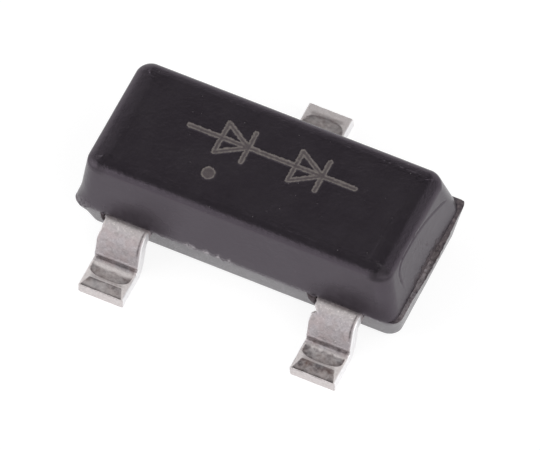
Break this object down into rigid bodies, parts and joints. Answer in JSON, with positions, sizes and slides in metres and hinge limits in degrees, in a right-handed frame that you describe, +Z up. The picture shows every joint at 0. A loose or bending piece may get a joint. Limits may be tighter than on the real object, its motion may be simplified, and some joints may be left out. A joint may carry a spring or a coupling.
{
  "type": "silicon diode",
  "caption": "Small black epoxy package with gull-wing leads, two in front and one behind, holding two silicon diodes in series for surface mounting.",
  "frame": {"origin": "on the board plane, halfway along the body and halfway between the tips of the front leads and the tip of the back lead", "axes": "+X along the body, to the right when the two-lead side is in front; +Y from the two-lead side to the single lead; +Z up, away from the board"},
  "size_m": [0.0029, 0.0024, 0.0009],
  "materials": {
    "epoxy": "black moulding epoxy, finely matt",
    "tin_plate": "matt tin plate on copper sheet",
    "silicon": "sawn and polished silicon",
    "silver_bond": "matt silver-filled adhesive",
    "gold": "bright drawn gold wire"
  },
  "bodies": {
    "root": {"mould_body": "epoxy", "lead_1": "tin_plate", "lead_2": "tin_plate", "lead_3": "tin_plate", "die_a": "silicon", "die_b": "silicon", "die_bond_a": "silver_bond", "die_bond_b": "silver_bond", "bond_wire_a": "gold", "bond_wire_b": "gold"}
  },
  "joints": []
}
